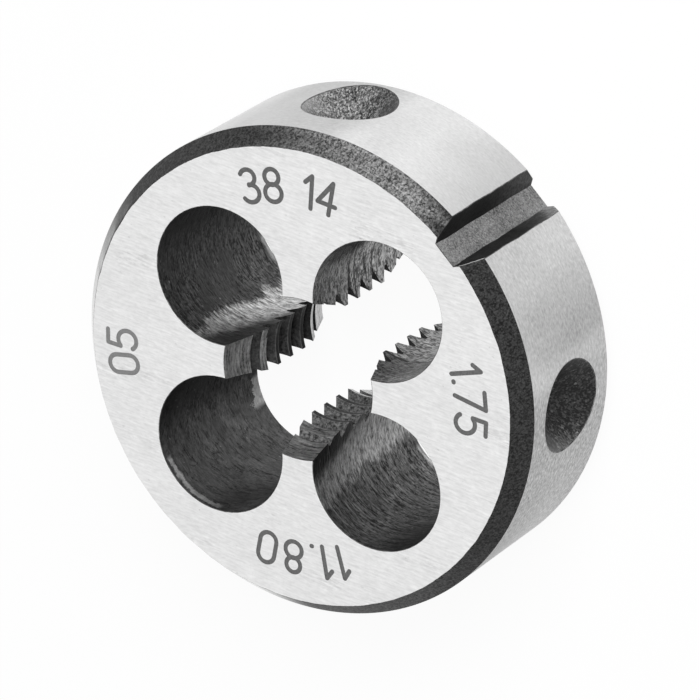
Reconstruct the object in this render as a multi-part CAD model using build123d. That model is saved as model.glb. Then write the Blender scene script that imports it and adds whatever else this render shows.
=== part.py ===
from build123d import *
import math
import os

# Round threading die, M12 x 1.75, right hand, closed pattern, one hardened steel piece.
# Frame: millimetres, +Z along the thread axis, origin on that axis in the bottom face.
# The top face is the marked one. The adjusting notch points halfway between +X and +Y.

# Disc
outer_diameter = 38.0
thickness = 14.0
chamfer_width = 1.15          # taken off the face, measured along the radius
chamfer_height = 1.5          # taken off the rim, measured along the axis

# Thread that the die cuts
thread_diameter = 12.0
thread_pitch = 1.75
thread_angle = 60.0
thread_start = 29.0           # where the groove crosses the bottom face, degrees from +X

# Lead cones at both ends of the bore
lead_threads = 2.25           # length of each cone, counted in threads
mouth_clearance = 0.35        # mouth radius over the thread's outer radius

# Chip holes round the bore, which leave one threaded land between each two
chip_hole_count = 4
chip_hole_reach = 0.95        # how far a hole comes inside the bore
chip_hole_web = 2.45          # metal left between a hole and the floor of the notch

# Adjusting notch down the rim
notch_position = 45.0         # degrees from +X
notch_depth = 1.65
notch_floor_width = 2.0
notch_angle = 60.0            # between its two flanks

# Conical dimples in the rim for the screws of the die stock
dimple_spread = 46.5          # degrees each way from the notch, and from the point opposite
dimple_diameter = 7.7
dimple_angle = 100.0          # full angle of the cone
dimple_offset = 1.2           # the offset pair sits this much below mid height

# How far a cutting form runs past the surface that it opens
overrun = 1.0

outer_radius = outer_diameter / 2
thread_radius = thread_diameter / 2
flank_slope = math.tan(math.radians(thread_angle / 2))
thread_height = thread_pitch / (2 * flank_slope)      # height of the sharp thread triangle
bore_radius = thread_radius - 5 / 8 * thread_height   # crests are cut back to a quarter pitch
mouth_radius = thread_radius + mouth_clearance
lead_length = lead_threads * thread_pitch

hole_step = 360 / chip_hole_count
hole_inner_edge = bore_radius - chip_hole_reach
hole_outer_edge = outer_radius - notch_depth - chip_hole_web
hole_radius = (hole_outer_edge - hole_inner_edge) / 2
circle_radius = (hole_outer_edge + hole_inner_edge) / 2

# Half the angle that a chip hole takes out of the bore, and the reach of the cuts in a land:
# they end halfway between a hole's edge and its middle
hole_cosine = (bore_radius**2 + circle_radius**2 - hole_radius**2) / (2 * bore_radius * circle_radius)
hole_half_angle = math.degrees(math.acos(hole_cosine))
groove_span = hole_step - hole_half_angle


def turned(points):
    """The solid turned from an outline of (radius, height) points; its seam is at the notch."""
    outline = Plane.XZ * make_face(Polyline(points, close=True))
    return Rot(0, 0, notch_position) * revolve(outline, Axis.Z)


def blank():
    """The turned disc with its two chamfered corners."""
    face_radius = outer_radius - chamfer_width
    outline = [
        (0, 0),
        (face_radius, 0),
        (outer_radius, chamfer_height),
        (outer_radius, thickness - chamfer_height),
        (face_radius, thickness),
        (0, thickness),
    ]
    return turned(outline)


def bore():
    """The core hole at the thread's crests, opened by a lead cone at each end."""
    cone_slope = (mouth_radius - bore_radius) / lead_length
    open_radius = mouth_radius + cone_slope * overrun
    outline = [
        (0, -overrun),
        (open_radius, -overrun),
        (bore_radius, lead_length),
        (bore_radius, thickness - lead_length),
        (open_radius, thickness + overrun),
        (0, thickness + overrun),
    ]
    return turned(outline)


def chip_holes():
    """Through holes that break into the bore and carry the chips away."""
    hole = Cylinder(hole_radius, thickness + 2 * overrun)
    turns = [notch_position + hole_step * index for index in range(chip_hole_count)]
    return [Rot(0, 0, turn) * Pos(circle_radius, 0, thickness / 2) * hole for turn in turns]


def groove_length():
    """One land's stretch of the right-hand thread groove, with sloped flanks and a flat root."""
    root_half_width = thread_pitch / 16
    inner_radius = bore_radius - thread_height / 8
    open_half_width = root_half_width + (thread_radius - inner_radius) * flank_slope
    section = Plane.XZ * make_face(
        Polyline(
            (inner_radius, -open_half_width),
            (thread_radius, -root_half_width),
            (thread_radius, root_half_width),
            (inner_radius, open_half_width),
            close=True,
        )
    )
    path = Helix(thread_pitch, thread_pitch * groove_span / 360, inner_radius)
    return sweep(section, path=path, is_frenet=True)


def thread_grooves():
    """The groove wherever it crosses a land: each land's stretch, repeated at every turn."""
    groove = groove_length()
    turns_below = 2
    turns_above = math.ceil(thickness / thread_pitch) + 1
    cutters = []
    for land in range(chip_hole_count):
        middle = notch_position + hole_step * (land + 0.5)
        first = middle - groove_span / 2
        rise = thread_pitch * (first - thread_start) / 360
        rise = rise % thread_pitch
        for turn in range(-turns_below, turns_above):
            height = rise + turn * thread_pitch
            cutters.append(Pos(0, 0, height) * Rot(0, 0, first) * groove)
    return cutters


def adjusting_notch():
    """The notch with a flat floor down the rim, where the die can be split and adjusted."""
    flank = math.tan(math.radians(notch_angle / 2))
    floor = outer_radius - notch_depth
    rim = outer_radius + overrun
    floor_half_width = notch_floor_width / 2
    rim_half_width = floor_half_width + (rim - floor) * flank
    section = make_face(
        Polyline(
            (floor, -floor_half_width),
            (rim, -rim_half_width),
            (rim, rim_half_width),
            (floor, floor_half_width),
            close=True,
        )
    )
    cutter = Pos(0, 0, -overrun) * extrude(section, amount=thickness + 2 * overrun)
    return Rot(0, 0, notch_position) * cutter


def dimples():
    """Four conical seats in the rim: one opposite pair at mid height, the other below it."""
    slope = math.tan(math.radians(dimple_angle / 2))
    dimple_depth = dimple_diameter / 2 / slope
    open_radius = dimple_diameter / 2 + overrun * slope
    length = dimple_depth + overrun
    cone = Rot(0, 90, 0) * Cone(0, open_radius, length)
    centre = outer_radius + overrun - length / 2
    cutters = []
    for side, drop in ((1, dimple_offset), (-1, 0)):
        for opposite in (0, 180):
            turn = notch_position + opposite + side * dimple_spread
            cutters.append(Rot(0, 0, turn) * Pos(centre, 0, thickness / 2 - drop) * cone)
    return cutters


def round_die():
    """The finished die: the blank less every opening."""
    die = blank() - bore()
    die = die - chip_holes()
    die = die - adjusting_notch()
    die = die - dimples()
    die = die - thread_grooves()
    return die


die = round_die()
solid = die.solids()[0]
solid.label = "round_die"
export_step(solid, "parts/round_die.step")
print("solids", len(die.solids()), "valid", solid.is_valid, "volume mm3", round(solid.volume, 1))
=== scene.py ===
from collections import namedtuple
from math import atan2, cos, hypot, log, pi, radians, sin, sqrt, tan

import bmesh
import bpy
import numpy as np
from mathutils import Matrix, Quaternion, Vector
from mathutils.geometry import delaunay_2d_cdt


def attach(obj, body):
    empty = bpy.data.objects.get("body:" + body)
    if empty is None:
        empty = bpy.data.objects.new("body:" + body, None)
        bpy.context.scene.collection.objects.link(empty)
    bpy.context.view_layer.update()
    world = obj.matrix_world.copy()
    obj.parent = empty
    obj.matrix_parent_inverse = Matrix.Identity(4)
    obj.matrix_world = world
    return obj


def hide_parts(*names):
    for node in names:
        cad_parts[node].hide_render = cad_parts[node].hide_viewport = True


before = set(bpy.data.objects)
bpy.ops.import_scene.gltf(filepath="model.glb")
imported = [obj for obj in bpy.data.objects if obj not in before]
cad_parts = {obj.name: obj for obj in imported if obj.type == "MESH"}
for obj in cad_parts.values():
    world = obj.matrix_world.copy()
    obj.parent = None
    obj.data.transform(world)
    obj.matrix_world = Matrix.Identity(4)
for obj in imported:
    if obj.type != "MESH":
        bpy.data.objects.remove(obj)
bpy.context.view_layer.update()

# A closed round threading die that lies on its plain face, with its marked face up. Lengths are
# millimetres and become metres when the mesh is made. The axes are the part's own: the thread's
# axis is Z, the die rests on Z = 0, and the notch points halfway between X and Y.
MM = 0.001
TAU = 2 * pi
QUARTER = pi / 2
SLOPE_30 = tan(radians(30))   # how the flanks of the thread and of the notch lean

# Disc
THICKNESS = 14.0
RIM_R = 19.0
FACE_R = 17.85                # where a face ends and its chamfer begins
CHAMFER_H = 1.5

# Thread and lead cones
PITCH = 1.75
ROOT_R = 6.0
CREST_R = ROOT_R - 5 / 8 * PITCH / (2 * SLOPE_30)
GROOVE_START = radians(29.0)
MOUTH_R = ROOT_R + 0.35
LEAD_H = 2.25 * PITCH
SCRATCH = 0.12                # a groove less deep than this leaves no mark on the lead cone

# Notch down the rim
NOTCH = radians(45.0)
NOTCH_FLOOR = RIM_R - 1.65
NOTCH_HALF = 1.0

# Lands and the chip holes between them
LANDS = 4
WEB = 2.45                    # left between a chip hole and the floor of the notch
REACH = 0.95                  # how far a chip hole reaches inside the crests
HOLE_OUT = NOTCH_FLOOR - WEB
HOLE_IN = CREST_R - REACH
HOLE_R = (HOLE_OUT - HOLE_IN) / 2
HOLE_C = (HOLE_OUT + HOLE_IN) / 2

# Conical dimples in the rim, as angle and height: two beside the notch, then two opposite
DIMPLE_SPREAD = radians(46.5)
DIMPLE_DROP = 1.2
DIMPLE_R = 3.85
DIMPLE_SLOPE = tan(radians(50))
DIMPLE_DEPTH = DIMPLE_R / DIMPLE_SLOPE
DIMPLES = [
    (NOTCH + opposite + side * DIMPLE_SPREAD, THICKNESS / 2 - drop)
    for opposite in (0, pi)
    for side, drop in ((1, DIMPLE_DROP), (-1, 0.0))
]

# Small forms that the surfaces get
BREAK = 0.045                 # broken edge between two surfaces
FACE_EDGE_R = FACE_R - 0.02   # between a face and its broken edge
CHAMFER_EDGE_R = FACE_R + 0.03
RIDGE = 0.012                 # tool ridges on the walls of the chip holes,
RIDGE_STRETCH = 0.12          # which are drawn out round the hole
RIDGE_FADE_TURN = 0.5         # and fade out towards the lands
RIDGE_FADE_H = 1.2            # and the faces
RAGGED = 0.022                # how far the edge of a face wanders
EDGE_WAVE = 0.035             # how far the edges of the notch wander
PITTED = 0.012                # unevenness of the dimples
NOSE = 0.45                   # rounding that the drill's point leaves in a dimple,
TIP = 0.02                    # and how far the very point is filled
SINK = 0.03                   # depth of the numbers

# Surfaces are numbered, and each number is a material
FACE, RIM, CHAMFER, WALL, CONE, THREAD, DIMPLE, SLOT, SLOT_FLOOR, MARK, EDGE = range(11)

all_points, all_faces, all_kinds, all_grain = [], [], [], []


def turned(x, y, angle):
    """A place turned about the axis."""
    return x * np.cos(angle) - y * np.sin(angle), x * np.sin(angle) + y * np.cos(angle)


def ring_faces(count, rings=2):
    """Faces between closed rings of points that follow each other."""
    steps = [(j, (j + 1) % count) for j in range(count)]
    starts = range(0, (rings - 1) * count, count)
    return [(i + a, i + b, i + count + b, i + count + a) for i in starts for a, b in steps]


def take(points, faces, kinds, grain):
    """Adds a patch. Its faces count its own points, and grain has a coordinate for every corner.

    Its kinds are one for each face, or one for all.
    """
    base = sum(len(patch) for patch in all_points)
    all_points.append(np.asarray(points, float))
    all_faces.extend([i + base for i in face] for face in faces)
    all_kinds.extend(np.broadcast_to(kinds, len(faces)).tolist())
    all_grain.extend(grain)


def cylinder_grain(points, faces):
    """Length round the rim from the notch, height and radius, for every corner."""
    grain = []
    for face in faces:
        angles = [(atan2(points[i][1], points[i][0]) - NOTCH) % TAU for i in face]
        if max(angles) - min(angles) > pi:
            angles = [a - TAU if a > pi else a for a in angles]
        grain.append([(a * RIM_R, points[i][2], hypot(*points[i][:2])) for a, i in zip(angles, face)])
    return grain


def flat_grain(points, faces):
    """The place itself, for every corner."""
    return [[tuple(points[i]) for i in face] for face in faces]


def waves(seed, count, low, high):
    """A smooth random function of two lengths: a sum of sines with the wave numbers asked for."""
    draw = np.random.default_rng(seed)
    direction = draw.uniform(0, TAU, count)
    number = np.exp(draw.uniform(log(low), log(high), count)) * TAU
    phase = draw.uniform(0, TAU, count)
    height = (low * TAU / number * 2 / count) ** 0.5
    along_s, along_z = turned(number, 0, direction)

    def at(s, z):
        return np.sin(np.multiply.outer(s, along_s) + np.multiply.outer(z, along_z) + phase) @ height

    return at


def triangulated(polygons, loose=()):
    """Triangles that fill the polygons, and for each the numbers of the polygons that it is in."""
    coords = [Vector(point) for part in (*polygons, loose) for point in part]
    numbers = iter(range(len(coords)))
    outlines = [[next(numbers) for _ in polygon] for polygon in polygons]
    found = delaunay_2d_cdt(coords, [], outlines, 0, 1e-7)
    return found[0], [(tuple(face), within) for face, within in zip(found[2], found[5])]


def counterclockwise(loop):
    loop = np.asarray(loop)
    x, y = loop[:, 0], loop[:, 1]
    area = np.sum(x * np.roll(y, -1) - np.roll(x, -1) * y)
    return loop if area > 0 else loop[::-1]


# Inside: the lands and the walls of the chip holes


def groove_distance(height):
    """Distance along the axis from the middle of the nearest groove."""
    return np.abs((height + PITCH / 2) % PITCH - PITCH / 2)


def thread_radius(height):
    """Radius of the thread's profile, at a height over the middle of a groove."""
    radius = ROOT_R - (groove_distance(height) - PITCH / 16) / SLOPE_30
    return np.clip(radius, CREST_R, ROOT_R)


def cone_radius(z):
    """Radius of the bore and its lead cones, without the thread."""
    slope = (MOUTH_R - CREST_R) / LEAD_H
    return MOUTH_R - slope * np.minimum(np.minimum(z, THICKNESS - z), LEAD_H)


def rise(theta):
    """Height of the middle of the groove at an angle."""
    return PITCH * (theta - GROOVE_START) / TAU


def groove_depth(theta, z):
    """How deep the thread cuts into the lead cone, or less than 0 where it doesn't reach it."""
    return thread_radius(z - rise(theta)) - cone_radius(z)


def land_radius(theta, z):
    """Radius of a land: the thread or the lead cone, whichever cuts deeper.

    Where the thread would only scratch the cone, the cone stays smooth.
    """
    depth = groove_depth(theta, z)
    return cone_radius(z) + np.maximum(depth, 0) * np.clip(depth / SCRATCH, 0, 1)


def land_half(r, hole_r=HOLE_R):
    """Half the angle of a land at a radius."""
    cosine = (r**2 + HOLE_C**2 - hole_r**2) / (2 * r * HOLE_C)
    return QUARTER / 2 - np.arccos(cosine)


def land_point(w, middle, t):
    """Angle, radius and height on a land, for the height w over the groove and the place t across.

    The width of the land depends on the radius, and the radius on the angle, so they take turns.
    """
    first_guess = 5.6
    theta = middle + t * land_half(np.full_like(w, first_guess))
    for _ in range(8):
        z = np.clip(w + rise(theta), BREAK, THICKNESS - BREAK)
        r = land_radius(theta, z)
        theta = middle + t * land_half(r)
    return theta, r, z


def pitch_rows():
    """Heights within one pitch that meet the corners of the profile, closest on the flanks."""
    root = PITCH / 16
    crest = PITCH * 3 / 8
    flank = np.linspace(root, crest, 9)
    top = np.linspace(crest, PITCH - crest, 5)[1:-1]
    return np.concatenate([[-root, 0], flank, top, PITCH - flank[:0:-1]])


LAND_COLUMNS = 17
WALL_TURN = radians(136)      # the evenly spaced columns of a wall reach this far round
first_edge = -float(land_half(CREST_R))
low_turn = int(np.floor(-rise(first_edge + TAU) / PITCH)) - 1
high_turn = int(np.ceil((THICKNESS - rise(first_edge)) / PITCH)) + 1
rows_w = np.concatenate([pitch_rows() + n * PITCH for n in range(low_turn, high_turn)])
across = np.linspace(-1, 1, LAND_COLUMNS)
wall_turns = np.linspace(-WALL_TURN, WALL_TURN, 45)


def snapped(w, middle, t):
    """Moves the row next to where the lead cone cuts the thread onto that line."""
    theta, _, z = land_point(w, middle, t)
    depth = groove_depth(theta, z)
    moved = w.copy()
    for i in np.nonzero(np.sign(depth[:-1]) * np.sign(depth[1:]) < 0)[0]:
        below, above = w[i], w[i + 1]
        for _ in range(30):
            half_way = (below + above) / 2
            theta, _, z = land_point(np.array([half_way]), middle, t)
            if (groove_depth(theta, z)[0] > 0) == (depth[i] > 0):
                below = half_way
            else:
                above = half_way
        on_cone = i if depth[i] < 0 else i + 1
        moved[on_cone] = (below + above) / 2
    return moved


GRAIN_R = 5.5                 # lengths round a land are measured at this radius
# a column of points, with what is known of it besides where it stands on a land
Column = namedtuple("Column", "points theta grain on_cone", defaults=(None, None, None))


def land_column(middle, t):
    """The points of one column up a land, at the place t across it."""
    theta, r, z = land_point(snapped(rows_w, middle, t), middle, t)
    points = np.stack([*turned(r, 0, theta), z], 1)
    grain = np.stack([theta * GRAIN_R, z, groove_distance(z - rise(theta))], 1)
    # the rows of the cone itself end a little before the bore
    in_lead = np.minimum(z, THICKNESS - z) < LEAD_H - 0.02
    return Column(points, theta, grain, in_lead & (groove_depth(theta, z) < SCRATCH / 2))


def hole_point(turn, radius, land):
    """Place at an angle round the chip hole after a land. The angle is 0 where it is farthest out."""
    x, y = turned(radius, 0, turn)
    return turned(HOLE_C + x, y, (land + 0.5) * QUARTER)


def hole_turn(points, land):
    """Angles of points round the chip hole after a land."""
    x, y = turned(points[:, 0], points[:, 1], -(land + 0.5) * QUARTER)
    return np.arctan2(y, x - HOLE_C)


def edge_turn(radius, hole_r=HOLE_R):
    """Angle round a chip hole of the edge of the land before it, at a radius of the bore."""
    x, y = turned(radius, 0, land_half(radius, hole_r) - QUARTER / 2)
    return atan2(y, x - HOLE_C)


def hole_number(land):
    """The third grain coordinate, which tells the chip holes apart."""
    return 30.0 + 20.0 * land


def wall_grain(points, land):
    """Length round the chip hole after a land, height and the number of the hole."""
    turn = hole_turn(points, land)
    return np.stack([turn * HOLE_R, points[:, 2], np.full_like(turn, hole_number(land))], 1)


def wall_columns(land, start, finish):
    """Columns of points round a chip hole, from the edge of one land to that of the next."""
    start_turn = hole_turn(start.points, land)
    finish_turn = hole_turn(finish.points, land)
    mouth_turn = edge_turn(float(cone_radius(BREAK)))
    courses = [((start_turn - WALL_TURN) / 2, (mouth_turn - WALL_TURN) / 2)]
    courses += [(turn, turn) for turn in wall_turns]
    courses += [((finish_turn + WALL_TURN) / 2, (WALL_TURN - mouth_turn) / 2)]
    ridges = waves(40 + land, 26, 0.12, 1.1)
    columns = []
    for turn, turn_at_ends in courses:
        # the rows climb with the thread from the one land to the other
        share = (turn - start_turn) / (finish_turn - start_turn)
        z = rows_w + rise(start.theta + (finish.theta - start.theta) * share)
        ended = (z <= BREAK) | (z >= THICKNESS - BREAK)
        z = np.clip(z, BREAK, THICKNESS - BREAK)
        turn = np.where(ended, turn_at_ends, turn)
        fade = np.clip((WALL_TURN - np.abs(turn)) / RIDGE_FADE_TURN, 0, 1)
        fade = fade * np.clip(np.minimum(z, THICKNESS - z) / RIDGE_FADE_H, 0, 1)
        ridge = RIDGE * ridges(turn * HOLE_R * RIDGE_STRETCH, z) * fade
        place = hole_point(turn, HOLE_R + np.where(ended, 0, ridge), land)
        columns.append(Column(np.stack([*place, z], 1)))
    return columns


def add_inside():
    """Lands and walls as one sheet that climbs with the thread, once round the bore."""
    lands = [[land_column(land * QUARTER, t) for t in across] for land in range(LANDS)]
    # the last column is the first one again, a pitch further up
    lands.append([land_column(TAU, -1)])
    columns = []
    for land in range(LANDS):
        columns += lands[land] + wall_columns(land, lands[land][-1], lands[land + 1][0])
    columns += lands[LANDS]
    points = np.stack([column.points for column in columns], 1)
    height = points[:, :, 2]
    rows, count = height.shape
    per_land = (count - 1) // LANDS
    faces, kinds, grain = [], [], []
    for j in range(count - 1):
        on_land = j % per_land < LAND_COLUMNS - 1
        if on_land:
            near, far = columns[j].grain, columns[j + 1].grain
            cone = columns[j].on_cone & columns[j + 1].on_cone
        else:
            near, far = (wall_grain(points[:, k], j // per_land) for k in (j, j + 1))
        for i in range(rows - 1):
            # rows past the faces have no height
            if max(height[i + 1, j: j + 2] - height[i, j: j + 2]) < 1e-9:
                continue
            a = i * count + j
            faces.append((a, a + 1, a + count + 1, a + count))
            grain.append([near[i], far[i], far[i + 1], near[i + 1]])
            if on_land:
                kinds.append(CONE if cone[i] and cone[i + 1] else THREAD)
            else:
                kinds.append(WALL)
    take(points.reshape(-1, 3), faces, kinds, grain)


def opening_outline(level, grow):
    """Outline of the mouth and the chip holes at a height, with both grown a little."""
    mouth = float(cone_radius(level)) + grow
    hole_r = HOLE_R + grow
    half = float(land_half(mouth, hole_r))
    turn = edge_turn(mouth, hole_r)
    turns = [(turn - WALL_TURN) / 2, *wall_turns, (WALL_TURN - turn) / 2]
    loop = []
    for land in range(LANDS):
        loop += [turned(mouth, 0, angle) for angle in land * QUARTER + across * half]
        loop += [hole_point(turn, hole_r, land) for turn in turns]
    return np.array(loop)


def add_opening_edges():
    """Broken edges between the openings and the faces."""
    for level, end in ((BREAK, 0.0), (THICKNESS - BREAK, THICKNESS)):
        inner = opening_outline(level, 0.0)
        outer = opening_outline(end, BREAK)
        points = np.column_stack([np.concatenate([inner, outer]), np.repeat([level, end], len(inner))])
        faces = ring_faces(len(inner))
        take(points, faces, EDGE, flat_grain(points, faces))


# Outside: the chamfers, the notch and the rim

SEGMENTS = 720
FLANK_POINTS = 7
FLOOR_POINTS = 9
# what the faces between two outlines are along the notch: edge, flank, floor, flank and edge
NOTCH_STRIP = [EDGE] + [SLOT] * (FLANK_POINTS - 1)
NOTCH_STRIP += [SLOT_FLOOR] * (FLOOR_POINTS - 1)
NOTCH_STRIP += [SLOT] * (FLANK_POINTS - 1) + [EDGE]
ragged_edge = waves(7, 40, 0.25, 3.0)
notch_edge = waves(91, 24, 0.10, 1.3)
# height of each face, the way inwards from it and where its ragged edge is read
ENDS = ((THICKNESS, -1, 0.0), (0.0, 1, 31.0))


def notch_flank_points(radius, floor, half):
    """One flank from the rim to the floor, and the angle at which the circle starts beside it."""
    # along the flank v is half + (u - floor) * slope, and on the circle u² + v² is radius²
    a = 1 + SLOPE_30**2
    k = half - floor * SLOPE_30
    u = (-k * SLOPE_30 + sqrt((k * SLOPE_30) ** 2 - a * (k * k - radius**2))) / a
    v = k + u * SLOPE_30
    start = atan2(v, u) + BREAK / radius
    top_u = u - BREAK * cos(radians(30))
    top_v = v - BREAK * sin(radians(30))
    along = np.stack([np.linspace(top_u, floor, FLANK_POINTS), np.linspace(top_v, half, FLANK_POINTS)], 1)
    return along, start


def outline(radius, z, shift=0.0, ragged=0.0, seed=0.0):
    """Outline at a height: the circle from one side of the notch to the other, then the notch.

    A shift makes the notch that much wider all round.
    """
    floor = NOTCH_FLOOR - shift
    half = NOTCH_HALF + shift / cos(radians(30)) - shift * SLOPE_30
    # each flank reads its waviness at a place of its own
    near, start = notch_flank_points(radius, floor, half + EDGE_WAVE * notch_edge(3.0, z))
    far, finish = notch_flank_points(radius, floor, half + EDGE_WAVE * notch_edge(40.0, z))
    angles = np.linspace(start, TAU - finish, SEGMENTS + 1)
    # the raggedness fades out beside the notch
    wobble = ragged * ragged_edge(angles * FACE_R + seed, seed)
    wobble = wobble * np.clip(np.minimum(angles - start, TAU - finish - angles) * 30, 0, 1)
    circle = np.stack(turned(radius + wobble, 0, angles), 1)
    # down the far flank, where v is negative, along the floor and up the near flank
    far = far * (1, -1)
    bottom = np.linspace(far[-1], near[-1], FLOOR_POINTS)
    loop = np.concatenate([circle, far, bottom[1:-1], near[::-1]])
    return np.stack(turned(*loop.T, NOTCH), 1)


def bridge(levels, strips):
    """Faces between outlines that lie above each other. Where a strip's kind is None, none is made."""
    points = np.concatenate([np.column_stack([loop, np.full(len(loop), z)]) for loop, z in levels])
    kinds = [kind for strip in strips for kind in strip]
    faces = ring_faces(len(levels[0][0]), len(levels))
    faces = [face for face, kind in zip(faces, kinds) if kind is not None]
    kinds = [kind for kind in kinds if kind is not None]
    take(points, faces, kinds, cylinder_grain(points, faces))


def add_chamfers():
    """From each face, over its broken edge, down the chamfer to the rim."""
    rows = 7
    strips = [[CHAMFER] * SEGMENTS + [EDGE] * len(NOTCH_STRIP)]
    strips += [[CHAMFER] * SEGMENTS + NOTCH_STRIP] * (rows - 1)
    for face_z, inwards, seed in ENDS:
        levels = [(outline(FACE_EDGE_R, face_z, BREAK, RAGGED, seed), face_z)]
        for row in np.linspace(0, 1, rows):
            z = face_z + inwards * (BREAK + (CHAMFER_H - BREAK) * row)
            radius = CHAMFER_EDGE_R + (RIM_R - CHAMFER_EDGE_R) * row
            levels.append((outline(radius, z, 0.0, RAGGED * (1 - row) ** 2, seed), z))
        bridge(levels, strips)


rim_rows = np.linspace(CHAMFER_H, THICKNESS - CHAMFER_H, 25)
rim_levels = [(outline(RIM_R, z), z) for z in rim_rows]


def dimple_ring(height, grow, down):
    """A ring round a dimple at angle 0: its mouth, grown aside, or the ring a little down the cone."""
    turns = np.linspace(0, TAU, 97)[:-1]
    apex = RIM_R - DIMPLE_DEPTH
    # the point apex + t on the axis, with the cone's radius slope * t there, lies on the rim
    a = 1 + (DIMPLE_SLOPE * np.cos(turns)) ** 2
    t = (-apex + np.sqrt(apex**2 - a * (apex**2 - RIM_R**2))) / a - down
    reach = DIMPLE_SLOPE * t + grow
    y = reach * np.cos(turns)
    z = height + reach * np.sin(turns)
    x = np.sqrt(RIM_R**2 - y**2) if grow else apex + t
    return np.stack([x, y, z], 1), turns


def add_rim():
    """The rim, unrolled to be triangulated, with the mouths of the dimples left out."""
    lengths = []
    for loop, _ in rim_levels:
        circle = loop[: SEGMENTS + 1]
        lengths.append((np.arctan2(circle[:, 1], circle[:, 0]) - NOTCH) % TAU * RIM_R)
    grid = np.stack(np.broadcast_arrays(lengths, rim_rows[:, None]), 2)
    border = np.concatenate([grid[0], grid[1:-1, -1], grid[-1, ::-1], grid[-2:0:-1, 0]])
    mouths, middles = [], []
    for angle, height in DIMPLES:
        middle = (angle - NOTCH) % TAU
        ring, _ = dimple_ring(height, BREAK, 0.0)
        s = (middle + np.arctan2(ring[:, 1], ring[:, 0])) * RIM_R
        mouths.append(counterclockwise(np.stack([s, ring[:, 2]], 1)))
        middles.append((middle * RIM_R, height))
    inner_rows = np.linspace(CHAMFER_H, THICKNESS - CHAMFER_H, 12)[1:-1]
    keep_off = 0.35
    loose = [
        (s, z)
        for s in lengths[0][4:-4:4]
        for z in inner_rows
        if all(hypot(s - at, z - height) >= DIMPLE_R + keep_off for at, height in middles)
    ]
    flat, found = triangulated([counterclockwise(border)] + mouths, loose)
    faces = [face for face, within in found if list(within) == [0]]
    points = np.array([(*turned(RIM_R, 0, s / RIM_R + NOTCH), z) for s, z in flat])
    take(points, faces, RIM, cylinder_grain(points, faces))


def add_dimple(number, angle, height):
    """A cone from the rim to its rounded point, a little pitted. Its number goes into the grain."""
    apex = RIM_R - DIMPLE_DEPTH
    mouth, turns = dimple_ring(height, BREAK, 0.0)
    under, _ = dimple_ring(height, 0.0, BREAK)
    pits = waves(70 + number, 40, 0.5, 4.0)
    rings = [mouth, under]
    for share in np.linspace(1, 0, 24)[1:-1]:
        reach = DIMPLE_SLOPE * (under[:, 0] - apex) * share
        depth = np.sqrt(reach**2 + NOSE**2) / DIMPLE_SLOPE - NOSE / DIMPLE_SLOPE * (1 - share)
        y = reach * np.cos(turns)
        z = height + reach * np.sin(turns)
        # smooth at the mouth and at the point
        fade = min(1, share * 3) * min(1, (1 - share) * 6)
        pit = PITTED * pits(y * 1.6, z * 1.6) * fade
        rings.append(np.stack([apex + depth + pit, y, z], 1))
    x, y, z = np.concatenate(rings + [[[apex + TIP, 0, height]]]).T
    n = len(turns)
    faces = ring_faces(n, len(rings))
    # the last ring closes onto the point, which is the last one of all
    faces += [(b, c, len(x) - 1) for _, _, c, b in faces[-n:]]
    kinds = [EDGE] * n + [DIMPLE] * (len(faces) - n)
    grain = [[(y[i], z[i] - height, 10.0 * number) for i in face] for face in faces]
    take(np.stack([*turned(x, y, angle), z], 1), faces, kinds, grain)


# Plain numbers on the marked face, with round-ended strokes

STROKE = 0.36
DIGIT_H = 2.5
DIGIT_GAP = 0.24              # between two digits, as a share of their height


def arc(x, y, rx, ry, start, end, points=16):
    t = np.radians(np.linspace(start, end, points))
    return np.stack([x + rx * np.cos(t), y + ry * np.sin(t)], 1)


# width and strokes of each digit that is used, on a height of 1
WIDE = 0.56
HALF = WIDE / 2
DIGITS = {
    "0": (
        WIDE,
        arc(HALF, 1 - HALF, HALF, HALF, 0, 180),
        arc(HALF, HALF, HALF, HALF, 180, 360),
        [(0, HALF), (0, 1 - HALF)],
        [(WIDE, HALF), (WIDE, 1 - HALF)],
    ),
    "1": (0.22, [(0.22, 0), (0.22, 1)], [(0.22, 1), (0, 0.78)]),
    "3": (WIDE, arc(0.27, 0.76, 0.25, 0.24, 150, -90), arc(0.27, 0.27, 0.29, 0.27, 90, -150)),
    "4": (0.60, [(0.42, 0), (0.42, 1)], [(0.42, 1), (0, 0.3)], [(0, 0.3), (0.6, 0.3)]),
    "5": (
        WIDE,
        [(0.5, 1), (0.08, 1)],
        [(0.08, 1), (0.04, 0.56)],
        arc(0.26, 0.32, 0.3, 0.32, 132, -145, 22),
    ),
    "7": (0.54, [(0, 1), (0.54, 1)], [(0.54, 1), (0.18, 0)]),
    "8": (WIDE, arc(HALF, 0.76, 0.24, 0.24, 0, 360, 28), arc(HALF, 0.27, HALF, 0.27, 0, 360, 30)),
    ".": (0.08, [(0.03, 0.02), (0.05, 0.02)]),
    " ": (0.34,),
}


def stroke_outlines(path, half):
    """Outline of a stroke with round ends, or the outer and the inner outline of a closed one."""
    step = np.gradient(path, axis=0)
    step /= np.hypot(step[:, 0], step[:, 1])[:, None]
    side = np.stack([-step[:, 1], step[:, 0]], 1) * half
    if np.hypot(*(path[0] - path[-1])) < 1e-6:
        side[0] = side[-1] = (side[0] + side[-1]) / 2
        return sorted([(path + side)[:-1], (path - side)[:-1]], key=lambda loop: -np.ptp(loop[:, 0]))
    caps = []
    for end, direction in ((-1, 1), (0, -1)):
        base = atan2(step[end, 1] * direction, step[end, 0] * direction)
        a = base + np.linspace(pi / 2, -pi / 2, 8)[1:-1]
        caps.append(path[end] + np.stack(turned(half, 0, a), 1))
    return [np.concatenate([path + side, caps[0], (path - side)[::-1], caps[1]])]


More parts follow.
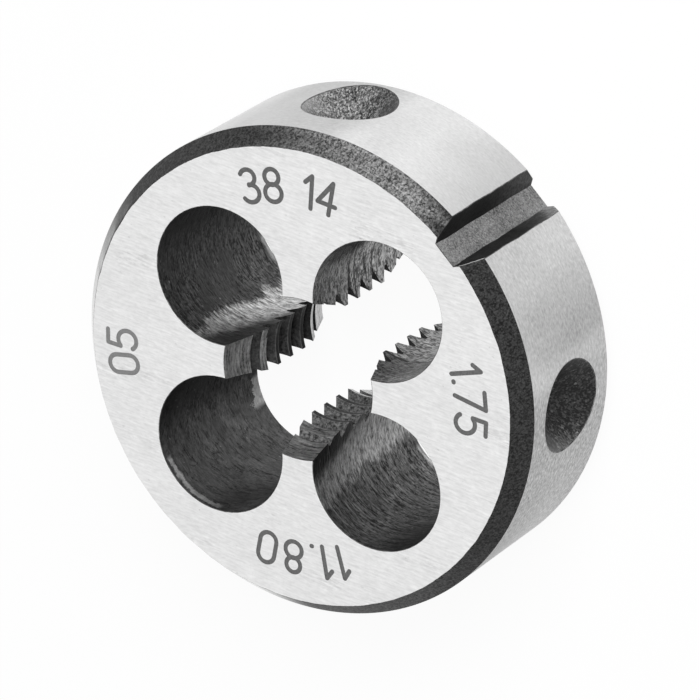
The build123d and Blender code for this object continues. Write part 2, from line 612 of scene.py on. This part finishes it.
def number_strokes(text, angle, radius, gap=DIGIT_GAP):
    """The outlines of each stroke of a number that stands on an arc of the face, tops outwards."""
    width = sum(DIGITS[char][0] for char in text) + gap * (len(text) - 1)
    strokes = []
    at = -width / 2 * DIGIT_H
    for char in text:
        char_width, *paths = DIGITS[char]
        turn = radians(angle) - (at + char_width / 2 * DIGIT_H) / radius
        for path in paths:
            loops = stroke_outlines((np.array(path) - (char_width / 2, 0.5)) * DIGIT_H, STROKE / 2)
            strokes.append([np.stack(turned(radius + y, -x, turn), 1) for x, y in (loop.T for loop in loops)])
        at += (char_width + gap) * DIGIT_H
    return strokes


MARKS = number_strokes("38 14", angle=93.0, radius=14.9)
MARKS += number_strokes("1.75", angle=6.0, radius=14.6)
MARKS += number_strokes("11.80", angle=272.0, radius=14.4, gap=0.36)
MARKS += number_strokes("05", angle=184.0, radius=15.3)


def in_stroke(within):
    """Whether a triangle lies in a stroke, and not inside the inner outline of a closed one."""
    polygon = 2               # polygons 0 and 1 are the face and its opening
    for stroke in MARKS:
        inside = [polygon + part in within for part in range(len(stroke))]
        if inside[0] and not any(inside[1:]):
            return True
        polygon += len(stroke)
    return False


def add_faces():
    """Both faces, with the numbers sunk into the upper one."""
    for face_z, _, seed in ENDS:
        marks = [counterclockwise(loop) for stroke in MARKS for loop in stroke] if face_z else []
        outer = counterclockwise(outline(FACE_EDGE_R, face_z, BREAK, RAGGED, seed))
        opening = counterclockwise(opening_outline(face_z, BREAK))
        flat, found = triangulated([outer, opening] + marks)
        points = np.array([(x, y, face_z) for x, y in flat])
        found = [(face, within) for face, within in found if 0 in within and 1 not in within]
        plain = [face for face, within in found if not in_stroke(within)]
        sunk = [face for face, within in found if in_stroke(within)]
        take(points, plain, FACE, flat_grain(points, plain))
        low = points - (0, 0, SINK)
        take(low, sunk, MARK, flat_grain(points, sunk))
        edges = dict.fromkeys(pair for face in sunk for pair in zip(face, face[1:] + face[:1]))
        n = len(points)
        sides = [(a, b, b + n, a + n) for a, b in edges if (b, a) not in edges]
        both = np.concatenate([points, low])
        take(both, sides, MARK, flat_grain(both, sides))


add_inside()
add_opening_edges()
add_chamfers()
bridge(rim_levels, [[None] * SEGMENTS + NOTCH_STRIP] * (len(rim_levels) - 1))
add_rim()
for number, (angle, height) in enumerate(DIMPLES):
    add_dimple(number, angle, height)
add_faces()

# The mesh: the patches joined, with every corner's grain, and edges sharp where surfaces meet
mesh = bpy.data.meshes.new("threading_die")
mesh.from_pydata((np.concatenate(all_points) * MM).tolist(), [], all_faces)
grain_layer = mesh.attributes.new("grain", "FLOAT_VECTOR", "CORNER")
grain_layer.data.foreach_set("vector", np.array([g for face in all_grain for g in face], float).ravel())
mesh.polygons.foreach_set("material_index", all_kinds)

SHARP = radians(24)
SAME = 0.0015                 # points closer than this are one
work = bmesh.new()
work.from_mesh(mesh)
bmesh.ops.remove_doubles(work, verts=work.verts, dist=SAME * MM)
unused = [v for v in work.verts if not v.link_faces]
bmesh.ops.delete(work, geom=unused, context="VERTS")
bmesh.ops.recalc_face_normals(work, faces=work.faces)
for face in work.faces:
    face.smooth = True
for edge in work.edges:
    edge.smooth = edge.calc_face_angle(0) < SHARP
work.to_mesh(mesh)
work.free()

die = bpy.data.objects.new("threading_die", mesh)
bpy.context.scene.collection.objects.link(die)
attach(die, "root")
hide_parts("round_die")


# Materials


def operator(name, swapped=False):
    """A method that joins a value with another one, or with a number, in a math node."""
    if swapped:
        return lambda self, other: self.nodes.math(name, other, self)
    return lambda self, *others: self.nodes.math(name, self, *others)


class Value:
    """The output of a shader node, which adds, subtracts and multiplies like a number."""

    def __init__(self, nodes, socket):
        self.nodes = nodes
        self.socket = socket

    __add__ = __radd__ = operator("ADD")
    __mul__ = __rmul__ = operator("MULTIPLY")
    __sub__ = operator("SUBTRACT")
    __rsub__ = operator("SUBTRACT", swapped=True)
    __pow__ = operator("POWER")
    __abs__ = operator("ABSOLUTE")
    at_least = operator("MAXIMUM")
    at_most = operator("MINIMUM")

    def step(self, start, end, low=0.0, high=1.0):
        """A smooth step between two places, downwards where the first one is greater."""
        inputs = enumerate((self, start, end, low, high))
        return self.nodes.get("Result", "ShaderNodeMapRange", inputs, interpolation_type="SMOOTHSTEP")

    def between(self, start, end, soft):
        """1 between two places, with soft ends."""
        return self.step(start - soft, start + soft) * self.step(end + soft, end - soft)


class Nodes:
    """A node tree, with short names for what the materials, the floor and the world need."""

    def __init__(self, tree):
        self.tree = tree

    def put(self, socket, value):
        if isinstance(value, Value):
            self.tree.links.new(value.socket, socket)
        else:
            socket.default_value = value

    def add(self, kind, inputs=(), **settings):
        """A new node. Inputs are pairs of an input's name or place and what goes into it."""
        node = self.tree.nodes.new(kind)
        for key, value in settings.items():
            setattr(node, key, value)
        for key, value in inputs:
            self.put(node.inputs[key], value)
        return node

    def get(self, output, kind, inputs=(), **settings):
        """One output of a new node."""
        return Value(self, self.add(kind, inputs, **settings).outputs[output])

    def math(self, operation, *values):
        return self.get("Value", "ShaderNodeMath", enumerate(values), operation=operation)

    def seen_by(self, *rays):
        """The sum of the Light Path's outputs for some kinds of ray, which are 0 or 1."""
        return sum(self.get(ray, "ShaderNodeLightPath") for ray in rays).at_most(1.0)


class Look(Nodes):
    """One procedural material, drawn in the grain coordinate of its surface."""

    def __init__(self, name, metal, rough, specular=0.5):
        self.material = bpy.data.materials.new(name)
        self.material.use_nodes = True
        super().__init__(self.material.node_tree)
        self.shader = self.tree.nodes["Principled BSDF"]
        self.set("Metallic", metal)
        self.set("Roughness", rough)
        self.set("Specular IOR Level", specular)
        self.place = self.get("Vector", "ShaderNodeAttribute", attribute_name="grain")

    def set(self, name, value):
        self.put(self.shader.inputs[name], value)

    def grey(self, value):
        """Sets the base colour from a brightness."""
        self.set("Base Color", self.get("Color", "ShaderNodeCombineColor", enumerate([value] * 3)))

    def bump(self, height, distance):
        inputs = [("Strength", 1.0), ("Distance", distance * MM), ("Height", height)]
        self.set("Normal", self.get("Normal", "ShaderNodeBump", inputs))

    def split(self):
        return [self.get(i, "ShaderNodeSeparateXYZ", [("Vector", self.place)]) for i in range(3)]

    def scaled(self, scale, turn, shift):
        """The grain coordinate turned by degrees about its third axis, then scaled.

        The third scale is 1 where only two are given.
        """
        inputs = [
            ("Vector", self.place),
            ("Location", (*shift, 0)),
            ("Rotation", (0, 0, radians(turn))),
            ("Scale", [1 / c for c in (*scale, 1)[:3]]),
        ]
        return self.get("Vector", "ShaderNodeMapping", inputs, vector_type="TEXTURE")

    def noise(self, scale, detail=2.0, rough=0.5, turn=0, shift=(0, 0), twist=0.0):
        """Smooth noise, with the scale as its waves in each millimetre."""
        inputs = [("Vector", self.scaled(scale, turn, shift)), ("Scale", 1.0)]
        inputs += [("Detail", detail), ("Roughness", rough), ("Distortion", twist)]
        return self.get("Fac", "ShaderNodeTexNoise", inputs)

    def cells(self, scale, shift=(0, 0)):
        """A random value for every small cell, like the facets of a rough surface."""
        inputs = [("Vector", self.scaled(scale, 0, shift)), ("Scale", 1.0)]
        colour = self.get("Color", "ShaderNodeTexVoronoi", inputs)
        return self.get("Red", "ShaderNodeSeparateColor", [("Color", colour)])


LINES = -8                    # direction of the grinding lines on the faces, in degrees


def with_lines(look, fine, middle, depth):
    """Gives a ground surface the gloss and the relief of its lines."""
    look.set("Roughness", 0.16 * fine + 0.08 * middle + 0.26)
    look.bump(0.6 * fine + 0.4 * middle, depth)
    return look


def ground_face():
    """Bright ground steel with fine straight lines, soft smudges and a few nicks."""
    look = Look("ground_face", metal=0.6, rough=0.38)
    fine = look.noise((0.8, 6.0), 2.0, 0.65, LINES)
    middle = look.noise((0.35, 3.6), 2.0, 0.6, LINES, (3, 7))
    mottle = look.noise((2.2, 3.2), 2.0, 0.65, LINES, (1, 5))
    broad = look.noise((0.10, 0.30), 2.0, 0.5, LINES, (11, 2))
    cloud = look.noise((0.5, 0.6), 3.0, 0.6, 0, (6, 4))
    nicks = look.noise((2.2, 3.0), 1.0, 0.5, LINES, (5, 5)).step(0.72, 0.80)
    smudge = look.noise((0.14, 0.34), 2.0, 0.5, LINES, (2, 9)).step(0.56, 0.72)
    lines = (0.34 * fine + 0.12 * middle + 0.20 * mottle - 0.33) * (0.9 * smudge + 0.95)
    look.grey(lines + 0.08 * broad + 0.08 * cloud - 0.12 * nicks - 0.03 * smudge + 0.685)
    return with_lines(look, fine, middle, 0.006)


def ground_rim():
    """Ground steel round the rim, with duller and brighter stretches along its length s, and painted shade
    beside the notch and towards the marked face.
    """
    look = Look("ground_rim", metal=0.5, rough=0.36)
    s, z, _ = look.split()
    fine = look.noise((2.4, 6.0), 2.0, 0.7)
    middle = look.noise((0.5, 2.6), 3.0, 0.65, 0, (3, 7))
    mottle = look.noise((2.8, 3.6), 2.0, 0.7, 0, (1, 9))
    cloud = look.noise((0.45, 0.5), 3.0, 0.6, 0, (4, 1))
    broad = look.noise((0.16, 0.08), 1.0, 0.5, 0, (0, 2))
    # the quarter before the notch is duller and rougher, but for one upright band in it
    quarter = s.step(74.0, 84.0)
    dull = quarter * s.step(110.0, 118.5, 1.0, 0.5)
    coarse = quarter * s.step(98.0, 111.0, 1.0, 0.15)
    band = s.between(106.4, 108.4, 0.8)
    # a duller stretch behind the notch, and a brighter one past it
    behind = s.between(12.75, 22.0, 1.6)
    past = s.between(24.5, 34.0, 1.5)
    lines = (0.52 * fine + 0.30 * mottle - 0.41) * (1.60 * coarse + 0.55)
    value = lines + 0.08 * middle + 0.09 * cloud + 0.22 * broad + 0.435
    value = value - 0.21 * dull + 0.09 * band - 0.155 * behind + 0.06 * past
    # painted shade: darker beside the notch, and towards the marked face at the lower end of the dull stretch
    beside = s.step(1.0, 8.0, 0.74, 1.0)
    painted_shade_low_end = s.between(80.0, 92.5, 4.5) * z.step(5.0, 13.0, 0.15, -0.45)
    look.grey(value * beside * (painted_shade_low_end + 1.0))
    return with_lines(look, fine, middle, 0.005)


def scale_chamfer():
    """Dark grainy scale, drawn into streaks past the notch, with painted light that makes it lighter past the
    notch and opposite it.
    """
    look = Look("scale_chamfer", metal=0.2, rough=0.55)
    s, _, _ = look.split()
    # seen edge-on, the scale mirrors the white room, but for the dull quarter before the notch
    edge_on = look.get("Facing", "ShaderNodeLayerWeight").step(0.66, 0.88)
    edge_on = edge_on * s.step(76.0, 70.0)
    look.set("Coat Weight", edge_on)
    look.set("Coat Roughness", 0.12)
    look.set("Specular IOR Level", 0.8 * edge_on + 0.2)
    look.set("Roughness", 0.55 - 0.30 * edge_on)
    speck = look.noise((5.6, 3.8, 3.8), 2.0, 0.7)
    blotch = look.noise((1.2, 1.6, 1.6), 3.0, 0.6)
    drawn = look.noise((0.35, 3.0, 3.0), 2.0, 0.6, 0, (5, 3))
    patch = look.noise((0.10, 0.4), 2.0, 0.5, 0, (4, 1))
    facets = look.cells((9.0, 9.0, 9.0))
    start = s + 12.0 * patch - 6.0
    past_notch = start.step(1.0, 5.0) * start.step(22.0, 8.0)
    opposite = start.step(66.0, 76.0) * start.step(96.0, 80.0)
    streak = drawn.step(0.60, 0.70) * past_notch
    # painted light: lighter past the notch, where the chamfer faces the lamp, and opposite the notch
    level = 0.120 * past_notch + 0.042 * opposite + 0.024
    look.grey(level * (4.2 * speck + 1.4 * facets + 0.5 * blotch + streak - 2.02).at_least(0.2))
    look.bump(speck, 0.03)
    return look


# strength of each burnt line, the heights between which it lies and its softness
BURNT_LINES = [
    (1.2, 8.90, 9.22, 0.07),
    (0.8, 8.15, 8.36, 0.06),
    (0.6, 7.32, 7.46, 0.05),
    (0.8, 5.50, 5.80, 0.10),
    (0.5, 6.30, 6.40, 0.06),
    (0.4, 11.0, 11.1, 0.08),
]


class WallLook(Look):
    """The walls of the chip holes: dark scale with tool streaks, and ragged bright ground bands
    beside the lands.

    s is the length round a hole from where it is farthest out, and z the height. The holes are
    the first one, at the notch, then counterclockwise the left, the lower and the near one.
    """

    def __init__(self):
        super().__init__("chip_hole_wall", metal=0.85, rough=0.45, specular=0.3)
        self.s, self.z, hole = self.split()
        self.side = abs(self.s)
        self.first, self.left, self.lower, self.near = (
            abs(hole - hole_number(land)).step(6.0, 4.0) for land in range(LANDS)
        )
        self.right_side = self.first * self.s.step(-1.0, 1.0)
        self.left_side = self.first * self.s.step(1.0, -1.0)
        self.streak = self.noise((0.8, 3.6), 3.0, 0.65, 4, twist=0.5)
        self.mottle = self.noise((1.7, 2.2), 3.0, 0.7, 4, (4, 0))
        self.fine = self.noise((1.7, 6.5), 2.0, 0.65, 4)
        self.facets = self.cells((4.6, 8.0), (6, 2))
        self.broad = self.noise((0.22, 0.28))
        self.drift = self.noise((0.5, 0.45), 3.0, 0.6, 0, (7, 3))
        self.ragged = self.noise((0.7, 3.8), 4.0, 0.8, 6, (2, 2))
        self.waved = self.noise((0.45, 0.85), 3.0, 0.5, -14, (2, 5), 1.2)
        self.strokes = self.noise((0.42, 3.2), 2.0, 0.6, -7, (9, 6), 0.4).step(0.60, 0.68)
        self.calm = self.lower * self.s.step(-4.5, -1.5)

    def patch(self, where, s_low, s_high, z, z_low, z_high):
        """A soft-edged rectangle on one of the walls."""
        return self.s.between(s_low, s_high, 0.25) * z.between(z_low, z_high, 0.12) * where

    def ground(self):
        """1 on the ground bands beside the lands, which widen towards the marked face."""
        lean = self.z.step(5.0, 13.5, -0.35, 0.55) - 0.9 * self.left * self.z.step(11.5, 13.2)
        place = self.side + 3.2 * self.ragged + 2.2 * self.broad + 2.2 * self.drift + lean
        return (place + 0.4 * self.near + 0.6 * self.first - 14.1).step(-0.20, 0.45)

    def not_corner(self):
        """0 in the corner between a land and the marked face, where two of the holes are darker."""
        corner = 0.4 * self.z + self.side + 1.6 * self.drift + 0.8 * self.ragged - 0.3 * self.near - 1.2
        corner = corner.step(15.9, 17.1) * (self.left + self.near)
        return 1.0 - corner * (1.0 - 0.15 * self.left)

    def away(self):
        """1 on the sides that are dull, so that they stay dark when they are seen edge-on."""
        away = self.left * self.s.step(8.5, 2.0) + self.lower * self.s.step(0.0, -5.0)
        away = away * self.z.step(13.5, 6.5, 0.3, 1.0)
        return away + 0.8 * self.lower * self.s.step(4.0, 7.0) * self.z.step(6.0, 12.0)

    def scale_grain(self):
        """Pattern of the dark scale, round 1."""
        combed = self.noise((0.34, 3.4), 3.0, 0.62, -6, (1, 8), 0.3) - 0.5
        combed = combed * (4.2 * self.near + 1.6 * self.left + 0.6)
        grain = 2.4 * self.streak + 1.5 * self.mottle + 3.8 * self.fine + 1.4 * self.facets - 4.55
        wear_and_glints = 1.3 * self.streak + 1.7 * self.mottle + 1.7 * self.fine + self.facets + 2.4 * self.waved - 4.05
        grain = grain + self.lower * (wear_and_glints - grain) + combed
        grain = grain * (0.5 * self.away() + 1.0)
        # calmer in places
        slope = self.z - 0.6 * self.s + 3.0 * self.drift - 1.5
        smooth = self.patch(self.left, 6.2, 9.6, slope, 0.5, 5.5)
        calmness = 1.0 - 0.45 * self.calm - 0.10 * self.near - 0.60 * smooth
        grain = grain * (2.0 * self.drift * calmness)
        # cuts along the streaks, and thin veins
        cut = self.strokes * (0.45 * self.near + 0.15 * self.left + 0.45)
        vein = abs(self.waved - 0.5).step(0.022, 0.004)
        vein = vein * self.calm * self.drift.step(0.42, 0.52)
        return (grain - cut - 0.55 * vein + 1.05).at_least(0.12)

    def scale(self):
        """Brightness of the dark scale, with painted light that makes it lighter towards one side in each
        hole and further from the marked face.
        """
        # painted light: lighter further from the marked face, as if lit through the far opening
        depth = self.z.step(13.8, 2.0)
        # painted light: in each hole, lighter towards the side that faces the light
        left_tone = self.s.step(1.5, 11.0, 0.40, 1.5)
        lower_tone = self.s.step(-6.5, 0.2, 0.32, 1.45) * self.s.step(2.5, 7.5, 1.0, 0.78)
        lower_tone = lower_tone * (1.22 - 0.30 * depth)
        near_tone = self.s.step(-7.5, -1.5, 1.75, 0.62)
        painted_side_light = self.first + self.left * left_tone + self.lower * lower_tone + self.near * near_tone
        scale = (0.025 * depth + 0.03 * self.broad + 0.02 * self.drift + 0.018) * self.scale_grain()
        # bright specks, and a few scratches in the near hole
        speck = self.cells((6.0, 7.5), (8, 8)).step(0.9962, 0.9972)
        scratch = self.noise((0.5, 4.2), 2.0, 0.6, -7, (4, 4)).step(0.54, 0.64)
        scratch = scratch * self.patch(self.near, -10.2, -5.6, self.z, 10.2, 13.4)
        return scale * painted_side_light + 0.10 * speck + 0.10 * scratch

    def burnt_and_shaded(self, height):
        """Burnt lines, blotches and a patch of painted shade on the band above the right land."""
        lines = sum(share * height.between(low, high, soft) for share, low, high, soft in BURNT_LINES)
        lines = lines * self.mottle.step(0.36, 0.46, 0.5, 1.0)
        blotch = 0.75 * self.noise((1.1, 1.9), 3.0, 0.7, 0, (2, 7)).step(0.52, 0.58)
        blotch = self.patch(blotch, 11.2, 14.0, self.z, 5.4, 8.3)
        # painted shade in a patch above the right land
        shaded = self.patch(0.60, 6.0, 10.7, self.z + 1.6 * self.ragged - 0.8, 6.9, 12.7)
        return (lines + blotch + shaded) * self.right_side

    def band(self):
        """Brightness of the ground bands, duller on either side of the right land, with painted light that
        makes them brighter further from the marked face.
        """
        gloss = 1.9 * self.streak + 2.0 * self.fine + 1.2 * self.mottle + 0.35 * self.facets - 2.72
        grainy = 1.1 * self.streak + 1.6 * self.fine + 1.6 * self.mottle + 1.3 * self.facets - 2.80
        gloss = (gloss + self.first * (grainy - gloss) + 0.62).at_least(0.06)
        bright = 0.75 * self.not_corner() * gloss + 0.06 * self.streak + 0.02
        bright = bright * (1.0 - 0.53 * self.left_side - 0.50 * self.right_side - 0.50 * self.near)
        # painted light: brighter further from the marked face
        bright = bright * self.z.step(13.0, 6.0, 0.70, 1.10)
        bright = bright * (1.0 + self.right_side * self.s.step(8.5, 11.0, -0.35, 0.0))
        bright = bright * (1.0 - 0.35 * self.near * self.side.step(11.2, 13.2))
        # burnt lines, and the shelf, line and seam that a second pass of the tool left
        wobble = self.noise((0.35, 0.5), 2.0, 0.5, 0, (3, 1))
        height = self.z + 0.5 * self.streak + 0.8 * wobble - 0.65
        shelf = height.step(9.5, 9.7, 0.0, 0.36) * height.step(12.2, 13.0, 1.0, -0.6)
        line = 0.9 * height.between(9.42, 9.62, 0.06)
        seam = 0.6 * height.between(9.05, 9.20, 0.07) * self.left
        lost = self.burnt_and_shaded(height) + (shelf + line) * self.left_side + seam
        return bright * (1.0 - lost).at_least(0.08)

    def wear_and_glints(self):
        """Painted highlights at the ends of the holes: bright spots by the far openings, and a glint along
        the edge of the lower hole at the marked face.
        """
        finger = self.noise((2.2, 0.8), 3.0, 0.7, 0, (3, 6))
        far_end = self.z + 0.8 * self.ragged - 0.4
        flame = self.z - 0.35 * self.s + 2.8 * finger - 2.3
        rim = self.z + 0.9 * finger + 0.5 * self.ragged - 0.70
        spots = (
            self.patch(self.near, -9.3, -7.2, far_end, -1.0, 0.5)
            + self.patch(self.left, 6.6, 8.8, far_end, -1.0, 0.45)
            + self.patch(self.lower, -3.7, -1.4, flame, -3.0, 1.1)
            + self.patch(self.lower, -1.8, 3.9, rim, 13.20, 13.66)
        )
        return spots.at_most(1.0) * (0.5 * self.mottle + 0.3 * self.fine - 0.10)


def chip_hole_wall():
    look = WallLook()
    ground = look.ground()
    scale = look.scale()
    look.grey((look.wear_and_glints() + scale + ground * (look.band() - scale)).at_least(0.004))
    # the dull sides mirror hardly anything
    dull = look.right_side * look.s.step(12.4, 10.2) * look.z.step(6.4, 8.2) + look.away()
    look.set("Metallic", 0.85 - 0.68 * dull)
    look.set("Specular IOR Level", 0.3 - 0.28 * dull)
    look.set("Roughness", 0.42 - 0.12 * ground + 0.15 * look.fine)
    relief = 0.6 * look.streak + 0.4 * look.fine - 0.6 * ground - 0.5 * look.strokes
    look.bump(relief + 2.0 * look.waved * look.calm, 0.05)
    return look


def turned_cone():
    """Lead cones with turning lines, with painted light that makes them lighter at the far end of the bore.
    """
    look = Look("lead_cone", metal=0.9, rough=0.42)
    _, z, _ = look.split()
    fine = look.noise((0.6, 6.0), 3.0, 0.7)
    middle = look.noise((0.5, 2.6), 2.0, 0.6, 0, (3, 7))
    mottle = look.noise((4.0, 5.0), 3.0, 0.7, 0, (6, 1))
    # painted light at the far end of the bore
    far = z.step(4.0, 3.6, 0.0, 0.07)
    value = 1.35 * fine + 0.35 * middle + 0.75 * mottle + far - 0.885
    look.grey((value * z.step(13.9, 12.0, 0.88, 1.22)).at_least(0.03))
    look.bump(0.6 * fine + 0.4 * middle, 0.02)
    return look


def thread():
    """Dark coated flanks with light specks, painted highlights along the edges of the crests, and dark
    crests.
    """
    look = Look("thread", metal=0.3, rough=0.5, specular=0.06)
    s, _, groove = look.split()
    grain = look.noise((3.6, 6.0, 5), 2.0, 0.65)
    facets = look.cells((8.5, 15.0))
    drawn = look.noise((0.8, 7.0), 2.0, 0.6)
    specks = (0.60 * facets**1.6 + 2.2 * grain - 0.88).at_least(0.05)
    # painted light: the lower land, which faces the light, is lighter than the others
    coat_and_painted_light = 0.135 * s.between(22.0, 30.0, 0.5) + 0.040
    crest = groove.step(0.68, 0.72, 1.0, 0.35)
    # painted highlight along the edges of the crests
    edge = groove.between(0.635, 0.700, 0.02)
    look.grey((specks * coat_and_painted_light + 0.06 * drawn - 0.012) * crest + 0.05 * edge)
    look.bump(0.6 * grain + 0.4 * drawn, 0.03)
    return look


def dimple_cone():
    """Grainy cones with painted light. The dimple with number 0 is the lightest, and the others are alike."""
    look = Look("dimple_cone", metal=0.5, rough=0.5)
    y, z, number = look.split()
    other = number.step(2.0, 8.0)
    patch = look.noise((0.6, 0.6))
    glint = look.cells((7.5, 7.5), (3, 8)).step(0.985, 0.992)
    # the first goes from smooth and light at one end to dark at the other, with painted light along the cone
    along = y + 0.3 * z + patch - 0.5
    end = along.step(2.0, 3.8)
    light = along.step(-3.8, 0.5, 0.24, 0.76) + 0.5 * end
    facets = look.cells((12.5, 9.5)) ** 2.2
    grain = look.noise((5.0, 3.0), 2.0, 0.6) + 2.4 * facets + patch + 0.9 * glint - 1.78
    first_value = (grain * (1.0 - 0.8 * end) + 1.0).at_least(0.1) * light
    # the others are dark but for their lower corner, which is painted lighter
    corner = (0.45 * z - y + 1.2 * patch - 0.6).step(1.0, 3.6)
    facets = look.cells((9.0, 9.5), (2, 2)) ** 2.2
    grain = 3.0 * look.noise((5.5, 4.0), 2.0, 0.6, 0, (2, 2)) + 3.8 * facets + 1.6 * patch
    grain = grain + 5.0 * glint - 3.50
    other_value = (grain * (1.0 - 0.7 * corner) + 1.0).at_least(0.15) * (0.38 * corner + 0.095)
    first = 1.0 - other
    look.grey((first_value * first + other_value * other) * (0.055 * first + 0.17))
    look.bump(look.noise((8.0, 8.0), 1.0, 0.6), 0.006)
    return look


def notch_flank():
    """Dark flanks, and a thin burr where the second one meets the chamfer of the marked face, painted as a
    bright highlight line.
    """
    look = Look("notch_flank", metal=0.2, rough=0.6, specular=0.15)
    s, z, radius = look.split()
    grain = look.noise((4.0, 4.0, 4), 3.0, 0.7)
    patch = look.noise((0.6, 0.35))
    bite = look.noise((1.2, 1.2, 1.2), 3.0, 0.6)
    first = s.between(0.2, 40.0, 0.1)
    second = 1.0 - first
    # both flanks are lighter towards the far end, the second one much more at its very end
    height = z + 3.0 * patch - 1.5
    far = 0.040 * height.step(8.0, 1.0) * first + 0.030 * height.step(6.0, 2.0) * second
    end = 0.16 * (height - 0.8 * radius).step(-11.6, -13.6) * second
    value = (0.010 * patch + far + end + 0.004) * (4.0 * grain - 1.0).at_least(0.2)
    # the distance inwards from the line of the chamfer, with a bitten edge
    slope = (RIM_R - FACE_R) / CHAMFER_H
    line = RIM_R + slope * (THICKNESS - CHAMFER_H) - 0.0785
    inset = line - slope * z - radius + 0.16 * bite
    # the burr is a painted highlight: a thin bright line
    burr = inset.step(0.17, 0.10) * z.step(12.2, 12.5) * second
    look.grey(value + 0.8 * burr)
    look.bump(grain, 0.03)
    return look


def notch_floor():
    """Grey grainy floor with a few glints."""
    look = Look("notch_floor", metal=0.4, rough=0.5)
    grain = look.noise((5.6, 6.4, 6), 2.0, 0.65)
    patch = look.noise((0.5, 0.3))
    glint = look.noise((3.6, 3.6, 3), 0.0).step(0.76, 0.84)
    facets = look.cells((9.0, 9.0, 9.0))
    look.grey((0.36 * grain + 0.15 * facets + 0.24 * patch + 0.16 * glint - 0.213).at_least(0.04))
    look.bump(grain, 0.04)
    return look


def number_marks():
    """Burnt-in grey, lightest in the number on the left and darkest in the one at the top."""
    look = Look("number_marks", metal=0.3, rough=0.6)
    x, y, _ = look.split()
    grain = look.noise((5.0, 5.0, 5), 3.0, 0.6)
    left = x.step(-10.0, -13.5)
    top = y.step(10.0, 13.5)
    look.grey(0.16 * grain + 0.095 * left - 0.012 * top + 0.05)
    look.bump(grain, 0.02)
    return look


def broken_edge():
    """Thin edges that glint here and there."""
    look = Look("broken_edges", metal=0.9, rough=0.4)
    look.grey(look.noise((1.5, 1.5, 1.5), 3.0, 0.7).step(0.40, 0.75, 0.05, 0.26))
    return look


# in the order of their numbers
LOOKS = [ground_face, ground_rim, scale_chamfer, chip_hole_wall, turned_cone, thread, dimple_cone]
LOOKS += [notch_flank, notch_floor, number_marks, broken_edge]
for make_look in LOOKS:
    mesh.materials.append(make_look().material)


# Floor and world: plain white to the camera and to mirroring metal, and a soft grey light besides


def make_floor():
    """A wide plane just under the die, white where it is seen and still shaded by the die."""
    gap = 0.02
    bpy.ops.mesh.primitive_plane_add(size=3.0, location=(0, 0, -gap * MM))
    floor = bpy.context.object
    floor.name = "floor"
    material = bpy.data.materials.new("floor_white")
    material.use_nodes = True
    material.node_tree.nodes.clear()
    nodes = Nodes(material.node_tree)
    lit = nodes.get("BSDF", "ShaderNodeBsdfDiffuse", [("Color", (0.9, 0.9, 0.9, 1))])
    white = nodes.get("Emission", "ShaderNodeEmission", [("Strength", 1.0)])
    seen = 0.95 * nodes.seen_by("Is Camera Ray", "Is Glossy Ray", "Is Transmission Ray")
    blend = nodes.get("Shader", "ShaderNodeMixShader", enumerate((seen, lit, white)))
    nodes.add("ShaderNodeOutputMaterial", [("Surface", blend)])
    floor.data.materials.append(material)
    return floor


floor = make_floor()

world = bpy.data.worlds.new("studio")
bpy.context.scene.world = world
world.use_nodes = True
sky = Nodes(world.node_tree)
background = world.node_tree.nodes["Background"]
background.inputs["Color"].default_value = (1, 1, 1, 1)
sky.put(background.inputs["Strength"], 0.8 * sky.seen_by("Is Camera Ray", "Is Glossy Ray") + 0.2)


def placed(target, azimuth, elevation, distance, roll=0.0):
    """Matrix of a lamp or camera that looks at a target from a direction. Angles are degrees."""
    a, e = radians(azimuth), radians(elevation)
    back = Vector((cos(a) * cos(e), sin(a) * cos(e), sin(e)))
    turn = back.to_track_quat("Z", "Y") @ Quaternion((0, 0, 1), radians(roll))
    matrix = turn.to_matrix().to_4x4()
    matrix.translation = (Vector(target) + back * distance) * MM
    return matrix


def place(name, data, matrix):
    thing = bpy.data.objects.new(name, data)
    bpy.context.scene.collection.objects.link(thing)
    thing.matrix_world = matrix
    return thing


# One soft lamp high up beside the notch. The metal mirrors the white room and not the lamp.
softbox = bpy.data.lights.new("key", "AREA")
softbox.shape = "SQUARE"
softbox.size = 0.30
softbox.energy = 3.2
key = place("key", softbox, placed((0, 0, 0), azimuth=64.0, elevation=45.0, distance=500.0))
key.visible_glossy = False

# The camera looks down at the marked face from the side of the notch, rolled until the die
# seems to stand on its rim
lens = bpy.data.cameras.new("camera")
lens.sensor_width = 36.0
lens.lens = 275.529
lens.clip_start = 0.01
lens.clip_end = 10.0
view = placed((0.3062, -0.1005, 7.0), azimuth=39.1226, elevation=52.5620, distance=397.8051, roll=-122.6157)
camera = place("camera", lens, view)
bpy.context.scene.camera = camera
bpy.context.scene.view_settings.view_transform = "Standard"
